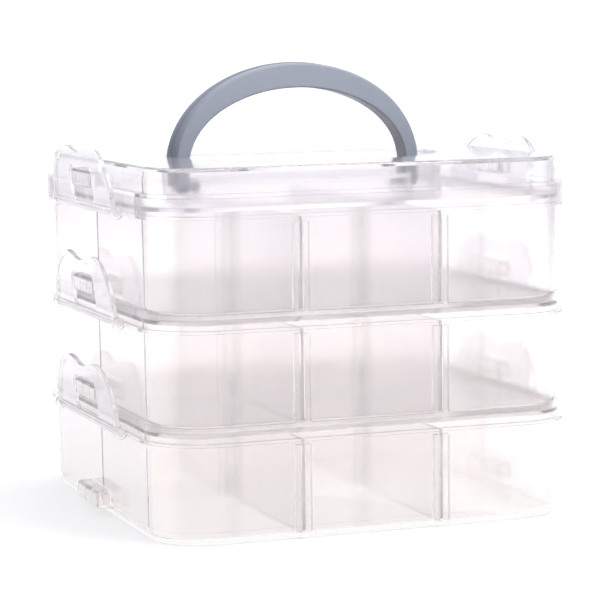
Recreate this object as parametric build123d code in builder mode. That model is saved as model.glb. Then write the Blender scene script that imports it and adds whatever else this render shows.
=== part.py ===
from build123d import *
from math import asin, cos, degrees, radians, sin, tan
import os

# Stacking sewing box: three clear trays with loose dividers, side latches, a lid and a folding handle.
# The origin is under the middle of the bottom tray, +Z is up and -Y is the front. Sizes are in millimetres.

# Box outline, measured over the collar at the top of a tray
BOX_WIDTH = 156.0
BOX_DEPTH = 156.0
CORNER_RADIUS = 20.6

# Tray heights
SEAT_HEIGHT = 38.8      # underside to the ledge that the next tray stands on
FOOT_HEIGHT = 4.7
FOOT_EDGE_RADIUS = 1.0
COLLAR_HEIGHT = 3.1     # collar above the ledge
FLANGE_DROP = 3.0       # flange top below the ledge
FLANGE_THICKNESS = 1.1
FLOOR = 1.6
FLOOR_FILLET = 1.5

# Tray walls, as distances in or out from the box outline
COLLAR_WALL = 1.0
FOOT_GAP = 0.3
WALL_INSET = 0.4
WALL_DRAFT = 0.4
WALL = 2.0
BEAD_WIDTH = 1.0
BEAD_HEIGHT = 1.5
FLANGE_REACH = 1.9

# Compartments
ROW_WALL = 1.6
DIVIDER_SPACING = 52.0
DIVIDER_THICKNESS = 1.2
DIVIDER_TOP_GAP = 0.7    # top dividers clear of the underside of the lid's recess
DIVIDER_CORNER = 1.5
DIVIDER_SIDE_GAP = 0.2
DIVIDER_END_GAP = 0.3
RIB_WIDTH = 2.0
RIB_DEPTH = 2.6
RIB_DROP = 1.6          # top of the ribs below the top of the dividers

# Side latches, hinged on the flange
LATCH_HALF_LENGTH = 38.2
LATCH_RISE = 21.2       # flange top to the tops of the humps
LATCH_DIP = 2.4         # dip between the humps
LATCH_LEAN = 5.35       # outward lean of a closed latch, in degrees
LATCH_THICKNESS = 1.3
LATCH_RIM_WIDTH = 1.8
LATCH_RIM_OUT = 0.6
HINGE_DROP = 0.5        # hinge axis below the flange top
HINGE_PIN_RADIUS = 1.25
HINGE_GAP = 0.05
PIN_TO_FLANGE = 0.35    # hinge pin clear of the flange edge
KNUCKLE_RADIUS = 2.2
KNUCKLE_LENGTH = 2.5
KNUCKLE_END_GAP = 0.4
WINDOW_WIDTH = 30.6
WINDOW_HEIGHT = 13.6
WINDOW_RADIUS = 4.0
WINDOW_SILL = 0.6       # flange top to the bottom of the window

# Catch lugs, which sit in the windows of the latches below them
LUG_SIDE_GAP = 1.6
LUG_TOP_GAP = 1.4
LUG_HEIGHT = 6.3
LUG_HOLD = 1.0          # how far a lug reaches into its window
LUG_EDGE_RADIUS = 1.2
LUG_WALL = 1.3

# Lid
LID_GAP = 0.3
LID_LEDGE = 1.5
LID_WALL = 1.5
PLATEAU_INSET = 0.8
PLATEAU_HEIGHT = 8.8    # ledge top to the top face
PLATEAU_BAND = 3.3      # height of the inset band round the top face
PLATEAU_STEP = 0.4
PLATEAU_EDGE_RADIUS = 0.8

# Folding handle
HANDLE_HALF_SPAN = 47.8
HANDLE_LEG = 5.0
HANDLE_DEPTH = 9.0
HANDLE_RISE = 37.0
HANDLE_INNER_RISE = 28.0
HANDLE_STRAIGHT = 7.4   # straight leg above the pivot
HANDLE_EDGE_RADIUS = 0.7
HANDLE_FOOT = 2.3       # leg below the pivot
SOLE_RADIUS = 2.2
LIP_DEPTH = 1.2         # thin lip round the back of the handle
LIP_REACH = 1.4         # lip beyond the legs
LIP_RISE = 0.3          # lip beyond the top of the arch
PIVOT_DEPTH = 11.1      # pivot below the lid's top face
PIVOT_PIN_RADIUS = 1.5
PIVOT_PIN_LENGTH = 4.6
PIVOT_GAP = 0.05

# Recess in the lid for the folded handle, with an island that carries the pivots
RECESS_SIDE_GAP = 2.6
RECESS_REAR_GAP = 2.5
FINGER_ROOM = 9.0
RECESS_FLOOR_GAP = 0.3
RECESS_FLOOR = 1.0
RECESS_WALL = 1.3
ISLAND_SIDE_GAP = 0.6
ISLAND_FRONT_GAP = 2.6
ISLAND_RISE = 3.4       # island top above the pivot
ISLAND_WALL = 1.5
BOSS_RADIUS = 3.0
BOSS_LENGTH = 2.0

OVERCUT = 1.0           # how far a cut runs past a face
SINK = 0.5              # how far parts of one moulding run into each other
TIERS = ("bottom", "middle", "top")

# Worked-out places
FLANGE_TOP = SEAT_HEIGHT - FLANGE_DROP
TRAY_TOP = SEAT_HEIGHT + COLLAR_HEIGHT
CAVITY_OFFSET = -(WALL_INSET + WALL)
HINGE_X = BOX_WIDTH / 2 + FLANGE_REACH + PIN_TO_FLANGE + HINGE_PIN_RADIUS
HINGE_Z = FLANGE_TOP - HINGE_DROP
LEAN = radians(LATCH_LEAN)
LUG_TOP = HINGE_Z + (HINGE_DROP + WINDOW_SILL + WINDOW_HEIGHT) * cos(LEAN) - LUG_TOP_GAP
LUG_REACH = HINGE_X + (LUG_TOP - HINGE_Z) * tan(LEAN) - LATCH_THICKNESS / 2 + LUG_HOLD
LID_SEAT = len(TIERS) * SEAT_HEIGHT
LEDGE_TOP = LID_SEAT + COLLAR_HEIGHT + LID_LEDGE
LID_TOP = LEDGE_TOP + PLATEAU_HEIGHT
PIVOT_Z = LID_TOP - PIVOT_DEPTH
RECESS_BOTTOM = PIVOT_Z - HANDLE_DEPTH / 2 - RECESS_FLOOR_GAP
TUB_LOW = RECESS_BOTTOM - RECESS_FLOOR
DIVIDER_HEIGHT = TUB_LOW - DIVIDER_TOP_GAP - (LID_SEAT - SEAT_HEIGHT) - FLOOR
RIB_HEIGHT = DIVIDER_HEIGHT - RIB_DROP
HANDLE_INNER_SPAN = HANDLE_HALF_SPAN - HANDLE_LEG
ISLAND_HALF = HANDLE_INNER_SPAN - ISLAND_SIDE_GAP


def box_outline(offset, height):
    """Rounded outline of the box, grown or shrunk by offset, at a height."""
    width = BOX_WIDTH + 2 * offset
    depth = BOX_DEPTH + 2 * offset
    with BuildSketch(Plane.XY.offset(height)) as outline:
        RectangleRounded(width, depth, CORNER_RADIUS + offset)
    return outline.sketch


def arch_outline(plane, half_span, rise, leg):
    """Half ellipse standing on a straight part, with the ellipse's centre at the plane's origin."""
    with BuildSketch(plane) as outline:
        with BuildLine():
            EllipticalCenterArc((0, 0), half_span, rise, start_angle=0, arc_size=180)
            Polyline((-half_span, 0), (-half_span, -leg), (half_span, -leg), (half_span, 0))
        make_face()
    return outline.sketch


def block(x_range, y_range, z_range):
    """Plain box between two corners, for use as a private tool body."""
    size = [high - low for low, high in (x_range, y_range, z_range)]
    middle = [(low + high) / 2 for low, high in (x_range, y_range, z_range)]
    return Pos(*middle) * Box(*size, mode=Mode.PRIVATE)


def cylinder_along(axis_plane, radius, length):
    """Cylinder that starts on a plane and runs along its normal."""
    with BuildPart() as rod:
        with BuildSketch(axis_plane):
            Circle(radius)
        extrude(amount=length)
    return rod.part


def mirrored_pair(low, high, side):
    """A range on the +X side, or its mirror image on the -X side."""
    if side > 0:
        return (low, high)
    return (-high, -low)


def divider_places():
    """X of the dividers and the sign of the row that each stands in."""
    return [(column * DIVIDER_SPACING / 2, row) for row in (-1, 1) for column in (-1, 1)]


def rib_blocks(base):
    """Guide ribs on the walls, one either side of each divider end."""
    low = base + FLOOR
    wall_y = BOX_DEPTH / 2 + CAVITY_OFFSET
    near = DIVIDER_THICKNESS / 2 + DIVIDER_SIDE_GAP
    ribs = []
    for x, row in divider_places():
        for y_low, y_high in ((ROW_WALL / 2, ROW_WALL / 2 + RIB_DEPTH), (wall_y - RIB_DEPTH, wall_y)):
            y_range = (y_low, y_high) if row > 0 else (-y_high, -y_low)
            for x_low in (x - near - RIB_WIDTH, x + near):
                ribs.append(block((x_low, x_low + RIB_WIDTH), y_range, (low, low + RIB_HEIGHT)))
    return ribs


def knuckle(side, end, base):
    """Bored eye on the flange that holds one end of a latch's hinge pin."""
    inner_end = LATCH_HALF_LENGTH + KNUCKLE_END_GAP
    start = Plane(origin=(side * HINGE_X, end * inner_end, base + HINGE_Z), z_dir=(0, end, 0))
    with BuildPart() as eye:
        with BuildSketch(start):
            Circle(KNUCKLE_RADIUS)
            Circle(HINGE_PIN_RADIUS + HINGE_GAP, mode=Mode.SUBTRACT)
        extrude(amount=KNUCKLE_LENGTH)
    return eye.part


def knuckle_room(side, end):
    """Notch in the lid's skirt round a knuckle of the tray under it."""
    near = end * (LATCH_HALF_LENGTH + KNUCKLE_END_GAP - LID_GAP)
    start = Plane(origin=(side * HINGE_X, near, LID_SEAT - SEAT_HEIGHT + HINGE_Z), z_dir=(0, end, 0))
    return cylinder_along(start, KNUCKLE_RADIUS + LID_GAP, KNUCKLE_LENGTH + 2 * LID_GAP)


def catch_lug(side, seat, root, hollow_from):
    """Catch lug above a seat, hollow from below outside hollow_from."""
    half = WINDOW_WIDTH / 2 - LUG_SIDE_GAP
    top = seat + LUG_TOP - SEAT_HEIGHT
    low = top - LUG_HEIGHT
    with BuildPart() as lug:
        add(block(mirrored_pair(root, LUG_REACH, side), (-half, half), (low, top)))
        outer = lug.faces().sort_by(Axis.X)[-1 if side > 0 else 0]
        fillet(outer.edges(), LUG_EDGE_RADIUS)
        pocket = mirrored_pair(hollow_from, LUG_REACH - LUG_WALL, side)
        cell = (2 * half - 4 * LUG_WALL) / 3
        for start in (-half + LUG_WALL, -cell / 2, half - LUG_WALL - cell):
            add(block(pocket, (start, start + cell), (low - OVERCUT, top - LUG_WALL)), mode=Mode.SUBTRACT)
    return lug.part


def make_tray(name, base):
    """Tray with foot, drafted walls, flange, collar, row wall, guide ribs, knuckles and lugs."""
    seat = base + SEAT_HEIGHT
    flange_low = base + FLANGE_TOP - FLANGE_THICKNESS
    wall_rise = flange_low - base - FOOT_HEIGHT
    draft = -degrees_of(WALL_DRAFT, wall_rise)
    with BuildPart() as tray:
        extrude(box_outline(-(COLLAR_WALL + FOOT_GAP), base), amount=FOOT_HEIGHT)
        fillet(tray.faces().sort_by(Axis.Z)[0].edges(), FOOT_EDGE_RADIUS)
        extrude(box_outline(-(WALL_INSET + WALL_DRAFT), base + FOOT_HEIGHT), amount=wall_rise, taper=draft)
        extrude(box_outline(FLANGE_REACH, flange_low), amount=FLANGE_THICKNESS)
        extrude(box_outline(0, base + FLANGE_TOP), amount=TRAY_TOP - FLANGE_TOP)
        extrude(box_outline(CAVITY_OFFSET, base + FLOOR), amount=TRAY_TOP, mode=Mode.SUBTRACT)
        extrude(box_outline(-COLLAR_WALL, seat), amount=TRAY_TOP, mode=Mode.SUBTRACT)
        inside_floor = tray.faces().filter_by(Axis.Z).group_by(Axis.Z)[1]
        fillet(inside_floor.edges(), FLOOR_FILLET)
        add(seat_bead(seat))
        inside = BOX_WIDTH / 2 + CAVITY_OFFSET + SINK
        row_top = base + FLOOR + DIVIDER_HEIGHT
        add(block((-inside, inside), (-ROW_WALL / 2, ROW_WALL / 2), (base + FLOOR - SINK, row_top)))
        for rib in rib_blocks(base):
            add(rib)
        lug_root = BOX_WIDTH / 2 - COLLAR_WALL - FOOT_GAP - SINK
        for side in (-1, 1):
            add(catch_lug(side, base, lug_root, BOX_WIDTH / 2 + FOOT_GAP))
            for end in (-1, 1):
                add(knuckle(side, end, base))
    tray.part.label = name
    return tray.part


def degrees_of(run, rise):
    """Angle in degrees of a slope."""
    return Vector(rise, 0, 0).get_angle(Vector(rise, run, 0))


def seat_bead(seat):
    """Ledge round the inside of a tray, with a slope under it, for the next tray to stand on."""
    with BuildPart() as bead:
        extrude(box_outline(CAVITY_OFFSET, seat), amount=-BEAD_HEIGHT)
        narrow = box_outline(CAVITY_OFFSET - BEAD_WIDTH, seat)
        extrude(narrow, amount=-BEAD_HEIGHT, taper=-degrees_of(BEAD_WIDTH, BEAD_HEIGHT), mode=Mode.SUBTRACT)
    return bead.part


def make_divider(name, x, row, base):
    """Loose divider that drops between the guide ribs."""
    near = ROW_WALL / 2 + DIVIDER_END_GAP
    far = BOX_DEPTH / 2 + CAVITY_OFFSET - BEAD_WIDTH - DIVIDER_END_GAP
    length = far - near
    low = base + FLOOR
    centre = (x, row * (near + far) / 2, low + DIVIDER_HEIGHT / 2)
    middle = Plane(origin=centre, x_dir=(0, 1, 0), z_dir=(1, 0, 0))
    with BuildPart() as divider:
        with BuildSketch(middle):
            RectangleRounded(length, DIVIDER_HEIGHT, DIVIDER_CORNER)
        extrude(amount=DIVIDER_THICKNESS / 2, both=True)
    divider.part.label = name
    return divider.part


def latch_outline(plane, rim_width=None):
    """Two-humped outline of a latch, y up from the hinge axis, or only its rim where a width is given."""
    top = HINGE_DROP + LATCH_RISE
    hump = LATCH_HALF_LENGTH - top
    radius = (hump ** 2 + LATCH_DIP ** 2) / (4 * LATCH_DIP)
    sweep = degrees(asin(hump / (2 * radius)))
    with BuildSketch(plane) as outline:
        with BuildLine():
            CenterArc((hump, 0), top, 0, 90)
            CenterArc((hump, top - radius), radius, 90, sweep)
            CenterArc((0, top - LATCH_DIP + radius), radius, 270, sweep)
            mirror(about=Plane.YZ)
            Line((-LATCH_HALF_LENGTH, 0), (LATCH_HALF_LENGTH, 0))
        make_face()
        if rim_width:
            offset(amount=-rim_width, mode=Mode.SUBTRACT)
    return outline.sketch


def make_latch(name, side, base):
    """Latch plate with a raised rim, a window for the lug and a hinge pin along its foot."""
    outward = (side * cos(LEAN), 0, -sin(LEAN))
    hinge = Plane(origin=(side * HINGE_X, 0, base + HINGE_Z), x_dir=(0, side, 0), z_dir=outward)
    inner_face = hinge.offset(-LATCH_THICKNESS / 2)
    outer_face = hinge.offset(LATCH_THICKNESS / 2)
    pin_half = LATCH_HALF_LENGTH + KNUCKLE_END_GAP + KNUCKLE_LENGTH
    window_middle = HINGE_DROP + WINDOW_SILL + WINDOW_HEIGHT / 2
    with BuildPart() as latch:
        extrude(latch_outline(inner_face), amount=LATCH_THICKNESS)
        extrude(latch_outline(outer_face, LATCH_RIM_WIDTH), amount=LATCH_RIM_OUT)
        with BuildSketch(inner_face):
            with Locations((0, window_middle)):
                RectangleRounded(WINDOW_WIDTH, WINDOW_HEIGHT, WINDOW_RADIUS)
        extrude(amount=LATCH_THICKNESS, mode=Mode.SUBTRACT)
        add(cylinder_along(Plane(origin=(side * HINGE_X, -pin_half, base + HINGE_Z), z_dir=(0, 1, 0)),
                           HINGE_PIN_RADIUS, 2 * pin_half))
    latch.part.label = name
    return latch.part


def recess_plane(height):
    """Plane at a height with its y towards the front and its origin under the folded arch's centre."""
    return Plane(origin=(0, -HANDLE_STRAIGHT, height), x_dir=(-1, 0, 0), z_dir=(0, 0, 1))


def recess_outline(height, grow):
    """Outline of the handle recess, grown by a wall."""
    half = HANDLE_HALF_SPAN + RECESS_SIDE_GAP + grow
    rise = HANDLE_RISE + FINGER_ROOM + grow
    leg = HANDLE_STRAIGHT + HANDLE_DEPTH / 2 + RECESS_REAR_GAP + grow
    return arch_outline(recess_plane(height), half, rise, leg)


def island_outline(height, shrink):
    """Outline of the island inside the folded handle, shrunk by a wall."""
    rise = HANDLE_INNER_RISE - ISLAND_FRONT_GAP - shrink
    leg = HANDLE_STRAIGHT + HANDLE_DEPTH / 2 + RECESS_REAR_GAP + RECESS_WALL - shrink
    return arch_outline(recess_plane(height), ISLAND_HALF - shrink, rise, leg)


def make_lid():
    """Lid with skirt, stepped plateau, handle recess, pivot island and two catch lugs."""
    collar_top = LID_SEAT + COLLAR_HEIGHT
    skirt_low = LID_SEAT - FLANGE_DROP + LID_GAP
    band_low = LID_TOP - PLATEAU_BAND
    ceiling = LID_TOP - LID_WALL
    island_top = PIVOT_Z + ISLAND_RISE
    with BuildPart() as lid:
        extrude(box_outline(FLANGE_REACH, skirt_low), amount=LEDGE_TOP - skirt_low)
        extrude(box_outline(-PLATEAU_INSET, LEDGE_TOP), amount=band_low - LEDGE_TOP)
        extrude(box_outline(-(PLATEAU_INSET + PLATEAU_STEP), band_low), amount=PLATEAU_BAND)
        fillet(lid.faces().sort_by(Axis.Z)[-1].edges(), PLATEAU_EDGE_RADIUS)
        extrude(box_outline(LID_GAP, skirt_low), amount=collar_top - skirt_low, mode=Mode.SUBTRACT)
        inside = box_outline(-(PLATEAU_INSET + PLATEAU_STEP + LID_WALL), skirt_low)
        extrude(inside, amount=ceiling - skirt_low, mode=Mode.SUBTRACT)
        extrude(recess_outline(TUB_LOW, RECESS_WALL), amount=ceiling + SINK - TUB_LOW)
        recess_depth = LID_TOP - RECESS_BOTTOM
        extrude(recess_outline(RECESS_BOTTOM, 0), amount=recess_depth + OVERCUT, mode=Mode.SUBTRACT)
        island_height = island_top - TUB_LOW
        extrude(island_outline(TUB_LOW, 0), amount=island_height)
        island_inside = island_outline(TUB_LOW - OVERCUT, ISLAND_WALL)
        extrude(island_inside, amount=island_height - ISLAND_WALL + OVERCUT, mode=Mode.SUBTRACT)
        for side in (-1, 1):
            inner_face = ISLAND_HALF - ISLAND_WALL - BOSS_LENGTH
            start = Plane(origin=(side * inner_face, 0, PIVOT_Z), z_dir=(side, 0, 0))
            add(cylinder_along(start, BOSS_RADIUS, BOSS_LENGTH + SINK))
            bore = PIVOT_PIN_RADIUS + PIVOT_GAP
            add(cylinder_along(start, bore, BOSS_LENGTH + ISLAND_WALL + OVERCUT), mode=Mode.SUBTRACT)
            root = BOX_WIDTH / 2 - PLATEAU_INSET - SINK
            add(catch_lug(side, LID_SEAT, root, BOX_WIDTH / 2 + FLANGE_REACH + LID_GAP))
            for end in (-1, 1):
                add(knuckle_room(side, end), mode=Mode.SUBTRACT)
    lid.part.label = "lid"
    return lid.part


def make_handle():
    """Arched handle with a flat-sided bar, straight legs and a pin that points inwards from each leg."""
    spring = PIVOT_Z + HANDLE_STRAIGHT
    leg = HANDLE_STRAIGHT + HANDLE_FOOT
    back = Plane(origin=(0, HANDLE_DEPTH / 2, spring), x_dir=(1, 0, 0), z_dir=(0, -1, 0))
    with BuildPart() as handle:
        extrude(arch_outline(back, HANDLE_HALF_SPAN, HANDLE_RISE, leg), amount=HANDLE_DEPTH)
        extrude(arch_outline(back, HANDLE_INNER_SPAN, HANDLE_INNER_RISE, leg + OVERCUT), amount=HANDLE_DEPTH,
                mode=Mode.SUBTRACT)
        soles = handle.faces().filter_by(Axis.Z).sort_by(Axis.Z)[:2]
        fillet(soles.edges().filter_by(Axis.X), SOLE_RADIUS)
        flanks = handle.faces().filter_by(Axis.Y)
        fillet(flanks.edges().filter_by(GeomType.ELLIPSE), HANDLE_EDGE_RADIUS)
        lip_half = HANDLE_HALF_SPAN + LIP_REACH
        extrude(arch_outline(back, lip_half, HANDLE_RISE + LIP_RISE, HANDLE_STRAIGHT), amount=LIP_DEPTH)
        lip_inside = arch_outline(back, HANDLE_INNER_SPAN, HANDLE_INNER_RISE, HANDLE_STRAIGHT + OVERCUT)
        extrude(lip_inside, amount=LIP_DEPTH, mode=Mode.SUBTRACT)
        for side in (-1, 1):
            leg_middle = side * (HANDLE_INNER_SPAN + HANDLE_LEG / 2)
            start = Plane(origin=(leg_middle, 0, PIVOT_Z), z_dir=(-side, 0, 0))
            add(cylinder_along(start, PIVOT_PIN_RADIUS, HANDLE_LEG / 2 + PIVOT_PIN_LENGTH))
    handle.part.label = "handle"
    return handle.part


def make_all():
    """Every piece of the box, tier by tier, then the lid and handle."""
    pieces = []
    for tier, name in enumerate(TIERS):
        base = tier * SEAT_HEIGHT
        pieces.append(make_tray(f"{name}_tray", base))
        for number, (x, row) in enumerate(divider_places(), start=1):
            pieces.append(make_divider(f"{name}_divider_{number}", x, row, base))
        pieces.append(make_latch(f"{name}_left_latch", -1, base))
        pieces.append(make_latch(f"{name}_right_latch", 1, base))
    pieces.append(make_lid())
    pieces.append(make_handle())
    return pieces


os.makedirs("parts", exist_ok=True)
for piece in make_all():
    export_step(piece, f"parts/{piece.label}.step")
    print(piece.label, len(piece.solids()), round(piece.volume), piece.is_valid)
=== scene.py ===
from math import atan, cos, radians, sin

import bmesh
import bpy
from mathutils import Matrix, Vector


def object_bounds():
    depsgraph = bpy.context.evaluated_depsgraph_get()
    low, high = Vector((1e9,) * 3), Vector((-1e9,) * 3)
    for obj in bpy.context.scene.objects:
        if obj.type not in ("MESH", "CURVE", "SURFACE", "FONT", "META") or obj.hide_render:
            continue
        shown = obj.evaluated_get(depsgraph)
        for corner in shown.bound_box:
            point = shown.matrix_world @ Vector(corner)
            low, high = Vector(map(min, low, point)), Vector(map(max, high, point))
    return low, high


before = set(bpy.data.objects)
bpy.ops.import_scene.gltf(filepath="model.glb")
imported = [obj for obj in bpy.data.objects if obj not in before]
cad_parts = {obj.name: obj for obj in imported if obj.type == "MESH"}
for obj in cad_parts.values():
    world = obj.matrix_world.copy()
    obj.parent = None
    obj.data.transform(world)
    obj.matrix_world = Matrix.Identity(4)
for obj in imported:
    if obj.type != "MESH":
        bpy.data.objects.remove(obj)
cad_low, cad_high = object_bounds()

MM = 0.001
BLACK = (0.0, 0.0, 0.0)
MID_GREY = (0.5, 0.5, 0.5)
WHITE = (1.0, 1.0, 1.0)


# ---- Shader maths: one wrapped socket, so that an expression adds its own Math nodes ----


class Value:
    """A number, colour or vector that changes over a surface."""

    def __init__(self, tree, socket):
        self.tree = tree
        self.socket = socket

    def _math(self, operation, *parts):
        return self.tree.node("ShaderNodeMath", {"operation": operation}, dict(enumerate(parts)))

    def __add__(self, other):
        return self._math("ADD", self, other)

    def __mul__(self, other):
        return self._math("MULTIPLY", self, other)

    __radd__ = __add__
    __rmul__ = __mul__


class Tree:
    """The nodes of a material or a world."""

    def __init__(self, owner):
        owner.use_nodes = True
        self.nodes = owner.node_tree.nodes
        self.links = owner.node_tree.links
        self.nodes.clear()

    def node(self, kind, settings=None, inputs=None, output=0):
        """Adds a node: first its settings, then the values or links of its sockets."""
        made = self.nodes.new(kind)
        for name, value in (settings or {}).items():
            if name == "stops":
                ramp = made.color_ramp
                while len(ramp.elements) < len(value):
                    ramp.elements.new(0.5)
                for stop, (place, colour) in zip(ramp.elements, value):
                    stop.position = place
                    stop.color = (*colour, 1.0)
            else:
                setattr(made, name, value)
        for name, value in (inputs or {}).items():
            socket = made.inputs[name]
            if isinstance(value, Value):
                self.links.new(value.socket, socket)
            elif isinstance(value, tuple) and socket.type == "RGBA":
                socket.default_value = (*value, 1.0)
            else:
                socket.default_value = value
        return Value(self, made.outputs[output]) if len(made.outputs) else None

    def place(self, space="Object"):
        """Where a point is: on its piece, or in a world's Generated space."""
        return self.node("ShaderNodeTexCoord", output=space)

    def part(self, vector, axis):
        """One number of a vector: 0 for X, 1 for Y, 2 for Z."""
        return self.node("ShaderNodeSeparateXYZ", {}, {0: vector}, output=axis)

    def mix(self, share, first, second):
        """A colour that goes from first to second."""
        return self.node(
            "ShaderNodeMix", {"data_type": "RGBA"}, {0: share, 6: first, 7: second}, output=2
        )

    def step(self, value, start, end, low=0.0, high=1.0):
        """A number that goes smoothly from low to high as value goes from start to end."""
        return self.node(
            "ShaderNodeMapRange",
            {"interpolation_type": "SMOOTHSTEP"},
            {"Value": value, "From Min": start, "From Max": end, "To Min": low, "To Max": high},
        )

    def noise(self, scale, detail, stretch=(1.0, 1.0, 1.0)):
        """Mottling with scale marks to a metre, drawn out where a number of stretch is under 1."""
        place = self.node(
            "ShaderNodeMapping", {}, {"Vector": self.place(), "Scale": Vector(stretch)}
        )
        return self.node(
            "ShaderNodeTexNoise", {}, {"Vector": place, "Scale": scale, "Detail": detail}
        )

    def bump(self, height, strength, distance):
        """A normal that follows height."""
        return self.node(
            "ShaderNodeBump", {}, {"Strength": strength, "Distance": distance, "Height": height}
        )


# ---- Clear polypropylene ----

CLEAR_IOR = 1.49
FLOW_MARKS = {"scale": 26.0, "detail": 3.0, "stretch": (1.0, 1.0, 0.35)}
FINE_MARKS = {"scale": 420.0, "detail": 2.0}
MARK_STRENGTH = 0.12
MARK_DEPTH = 0.2 * MM
FINE_SHARE = 0.15  # of the fine marks in the bump
GLOSS_SPREAD = 0.06  # how much rougher a flow mark is
COOL_BY_HEIGHT = 0.7  # from warm at the foot to cool at the top of the box
COOL_BY_FLOW = 0.4
PAINTED_EDGE_SHADE = (0.86, 0.845, 0.92)  # painted edge shade: a lavender tint put on the wall where it is seen edge on
MILK_DULL = (0.95, 0.93, 0.925)
MILK_BRIGHT = (0.97, 0.96, 0.965)
# Painted glow colours of the milky share, warm at the foot and cool at the top; the plastic glows
# though it is no lamp.
PAINTED_GLOW_WARM = (1.0, 0.95, 0.92)
PAINTED_GLOW_COOL = (1.0, 0.96, 0.99)
MILK_ROUGHNESS = 0.4
PAINTED_GLOW = 0.5  # painted glow: stands in for light scattered inside the wall


def clear_plastic(name, warm, cool, cloud, rough):
    """Clear moulded plastic: a share of cloud to twice that is milky and glows with painted light,
    with flow marks in its gloss and painted shade where the wall is seen edge on.
    """
    material = bpy.data.materials.new(name)
    tree = Tree(material)
    flow = tree.noise(**FLOW_MARKS)
    fine = tree.noise(**FINE_MARKS)
    height = tree.part(tree.place(), 2)
    coolness = height * (COOL_BY_HEIGHT / cad_high[2]) + flow * COOL_BY_FLOW
    # Painted edge shade: the shell's colour turns lavender where the wall is seen edge on.
    facing = tree.node("ShaderNodeLayerWeight", {}, {"Blend": 0.5}, output="Facing")
    edge_shade_share = facing * facing * facing
    shell = tree.node(
        "ShaderNodeBsdfPrincipled",
        {},
        {
            "Base Color": tree.mix(edge_shade_share, tree.mix(coolness, warm, cool), PAINTED_EDGE_SHADE),
            "Roughness": rough + flow * GLOSS_SPREAD,
            "IOR": CLEAR_IOR,
            "Transmission Weight": 1.0,
            "Normal": tree.bump(flow + fine * FINE_SHARE, MARK_STRENGTH, MARK_DEPTH),
        },
    )
    # The milky share: dull to bright at random, with a painted glow from warm to cool.
    milk_and_painted_glow = tree.node(
        "ShaderNodeBsdfPrincipled",
        {},
        {
            "Base Color": tree.mix(fine, MILK_DULL, MILK_BRIGHT),
            "Roughness": MILK_ROUGHNESS,
            "Emission Color": tree.mix(coolness, PAINTED_GLOW_WARM, PAINTED_GLOW_COOL),
            "Emission Strength": PAINTED_GLOW,
        },
    )
    body = tree.node("ShaderNodeMixShader", {}, {0: cloud + flow * cloud, 1: shell, 2: milk_and_painted_glow})
    tree.node("ShaderNodeOutputMaterial", {}, {"Surface": body})
    return material


# ---- Blue-grey satin plastic ----

SATIN_MOTTLE = {"scale": 60.0, "detail": 3.0}
SATIN_GRAIN = {"scale": 900.0, "detail": 2.0}
SATIN_DARK = (0.33, 0.36, 0.43)
SATIN_LIGHT = (0.36, 0.395, 0.465)
SATIN_ROUGHNESS = 0.34
SATIN_ROUGHNESS_SPREAD = 0.12
SATIN_COAT = 0.15
SATIN_COAT_SPREAD = 0.1
SATIN_COAT_ROUGHNESS = 0.3
GRAIN_STRENGTH = 0.15
GRAIN_DEPTH = 0.1 * MM


def satin_plastic(name):
    """Opaque satin plastic, mottled and finely grained."""
    material = bpy.data.materials.new(name)
    tree = Tree(material)
    mottle = tree.noise(**SATIN_MOTTLE)
    surface = tree.node(
        "ShaderNodeBsdfPrincipled",
        {},
        {
            "Base Color": tree.mix(mottle, SATIN_DARK, SATIN_LIGHT),
            "Roughness": SATIN_ROUGHNESS + mottle * SATIN_ROUGHNESS_SPREAD,
            "Coat Weight": SATIN_COAT + mottle * SATIN_COAT_SPREAD,
            "Coat Roughness": SATIN_COAT_ROUGHNESS,
            "Normal": tree.bump(tree.noise(**SATIN_GRAIN), GRAIN_STRENGTH, GRAIN_DEPTH),
        },
    )
    tree.node("ShaderNodeOutputMaterial", {}, {"Surface": surface})
    return material


# ---- A finish for each piece: warm and cool colour, milky share and roughness ----

TRAY = clear_plastic("tray_clear", (1.0, 0.974, 0.956), (0.994, 0.978, 0.988), 0.022, 0.09)
LID = clear_plastic("lid_clear", (0.98, 0.968, 0.97), (0.965, 0.957, 0.975), 0.02, 0.05)
DIVIDER = clear_plastic("divider_clear", (0.98, 0.962, 0.952), (0.965, 0.952, 0.978), 0.03, 0.12)
LATCH = clear_plastic("latch_clear", (0.955, 0.945, 0.945), (0.93, 0.925, 0.955), 0.03, 0.04)
HANDLE = satin_plastic("blue_grey_satin")
FINISHES = {"tray": TRAY, "lid": LID, "divider": DIVIDER, "latch": LATCH, "handle": HANDLE}

for name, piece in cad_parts.items():
    for slot in piece.material_slots:
        slot.material = next(finish for word, finish in FINISHES.items() if word in name)


# ---- Floor: pale paper that glows, most of all in a strip along the camera's line ----

CAMERA_TURN = radians(20.34)  # to the right of straight back; the strip and the studio follow it
FLOOR_RADIUS = 4.0
FLOOR_SIDES = 96
STRIP_EDGE = (0.3, 1.1)  # the strip fades out between these distances from its middle
STRIP_OUTSIDE = 0.35
NEAR_THE_BOX = (0.25, 0.9)  # the glow is dimmer near the box
NEAR_GLOW = 0.64


def sideways(tree, place):
    """How far right of the camera's line a point or direction is, below 0 on its left."""
    turn = Vector((0.0, 0.0, CAMERA_TURN))
    return tree.part(tree.node("ShaderNodeMapping", {}, {"Vector": place, "Rotation": turn}), 0)


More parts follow.
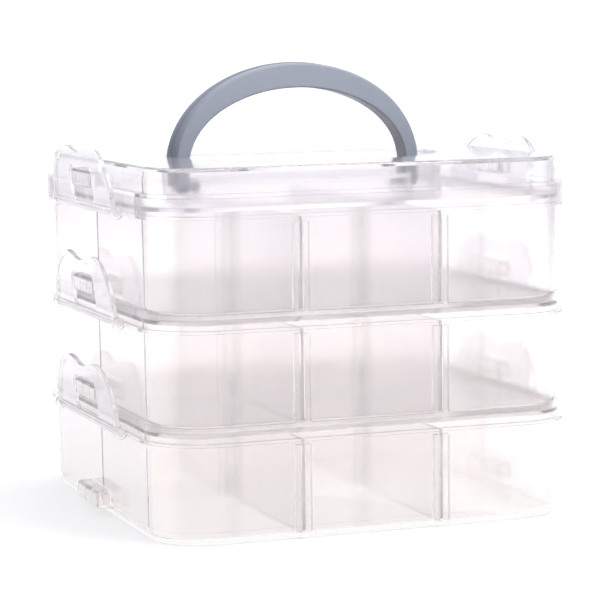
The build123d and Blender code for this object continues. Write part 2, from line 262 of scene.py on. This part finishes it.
def pale_floor():
    """The floor's material."""
    material = bpy.data.materials.new("pale_floor")
    tree = Tree(material)
    place = tree.place()
    from_middle = tree.node("ShaderNodeMath", {"operation": "ABSOLUTE"}, {0: sideways(tree, place)})
    from_box = tree.node("ShaderNodeVectorMath", {"operation": "LENGTH"}, {0: place}, output="Value")
    strip = tree.step(from_middle, *STRIP_EDGE, low=1.0, high=STRIP_OUTSIDE)
    far = tree.step(from_box, *NEAR_THE_BOX, low=NEAR_GLOW, high=1.0)
    paper = tree.node("ShaderNodeBsdfDiffuse", {}, {"Color": MID_GREY})
    glow = tree.node(
        "ShaderNodeEmission", {}, {"Color": tree.mix(strip * far, BLACK, WHITE), "Strength": 1.0}
    )
    both = tree.node("ShaderNodeAddShader", {}, {0: paper, 1: glow})
    tree.node("ShaderNodeOutputMaterial", {}, {"Surface": both})
    return material


floor_mesh = bpy.data.meshes.new("floor")
disc = bmesh.new()
bmesh.ops.create_circle(disc, cap_ends=True, segments=FLOOR_SIDES, radius=FLOOR_RADIUS)
disc.to_mesh(floor_mesh)
disc.free()
floor_mesh.materials.append(pale_floor())
floor = bpy.data.objects.new("floor", floor_mesh)
bpy.context.scene.collection.objects.link(floor)


# ---- Studio: white low down, dimmer overhead and to either side of the camera's line ----

SKY_STOPS = [
    (0.0, WHITE),
    (0.25, WHITE),
    (0.6, (0.86, 0.855, 0.9)),
    (1.0, (0.74, 0.73, 0.8)),
]
RIGHT_FLANK = (0.25, 0.75)
RIGHT_GREY = (0.62, 0.61, 0.66)
LEFT_FLANK = (-0.2, -0.7)
LEFT_GREY = (0.36, 0.35, 0.39)
STUDIO_STRENGTH = 1.12
LAMP_AIM = Vector((0.0, 0.0, 0.1))


def light_studio(world):
    """The light that comes from all around."""
    tree = Tree(world)
    direction = tree.place("Generated")
    side = sideways(tree, direction)
    sky = tree.node("ShaderNodeValToRGB", {"stops": SKY_STOPS}, {0: tree.part(direction, 2)})
    right_dimmed = tree.mix(tree.step(side, *RIGHT_FLANK), sky, RIGHT_GREY)
    studio = tree.mix(tree.step(side, *LEFT_FLANK), right_dimmed, LEFT_GREY)
    backdrop = tree.node("ShaderNodeBackground", {}, {"Color": studio, "Strength": STUDIO_STRENGTH})
    tree.node("ShaderNodeOutputWorld", {}, {"Surface": backdrop})


def turned_to(direction):
    """The turn that points a lamp or a camera along direction."""
    return direction.to_track_quat("-Z", "Y")


def area_lamp(name, place, size, power):
    """A round lamp, size metres across, that points at the box."""
    light = bpy.data.lights.new(name, "AREA")
    light.shape = "DISK"
    light.size = size
    light.energy = power
    lamp = bpy.data.objects.new(name, light)
    lamp.location = place
    lamp.rotation_euler = turned_to(LAMP_AIM - Vector(place)).to_euler()
    bpy.context.scene.collection.objects.link(lamp)


scene = bpy.context.scene
scene.world = bpy.data.worlds.new("studio")
light_studio(scene.world)
area_lamp("key", (0.9, -1.3, 1.2), 0.8, 12.0)
area_lamp("top", (0.3, 0.2, 1.6), 0.6, 4.0)


# ---- Camera ----

CAMERA_DROP = radians(6.56)
CAMERA_ROLL = radians(-0.68)
CAMERA_DISTANCE = 0.9491
CAMERA_AIM = Vector((0.0035, 0.0, 0.0719))
VIEW_SLOPE = 0.121404483  # half the width of the view, 1 m away
VIEW_START = 0.01
VIEW_END = 50.0

look = Vector(
    (sin(CAMERA_TURN) * cos(CAMERA_DROP), cos(CAMERA_TURN) * cos(CAMERA_DROP), -sin(CAMERA_DROP))
)
camera_data = bpy.data.cameras.new("camera")
camera_data.angle = 2 * atan(VIEW_SLOPE)
camera_data.clip_start = VIEW_START
camera_data.clip_end = VIEW_END
camera = bpy.data.objects.new("camera", camera_data)
turn = turned_to(look).to_matrix().to_4x4() @ Matrix.Rotation(CAMERA_ROLL, 4, "Z")
camera.matrix_world = Matrix.Translation(CAMERA_AIM - look * CAMERA_DISTANCE) @ turn
scene.collection.objects.link(camera)
scene.camera = camera

# Light crosses many clear walls on its way through the box.
CLEAR_BOUNCES = 32
DIFFUSE_BOUNCES = 8
scene.view_settings.view_transform = "Standard"
scene.cycles.max_bounces = CLEAR_BOUNCES
scene.cycles.transmission_bounces = CLEAR_BOUNCES
scene.cycles.glossy_bounces = CLEAR_BOUNCES
scene.cycles.diffuse_bounces = DIFFUSE_BOUNCES
scene.cycles.transparent_max_bounces = CLEAR_BOUNCES
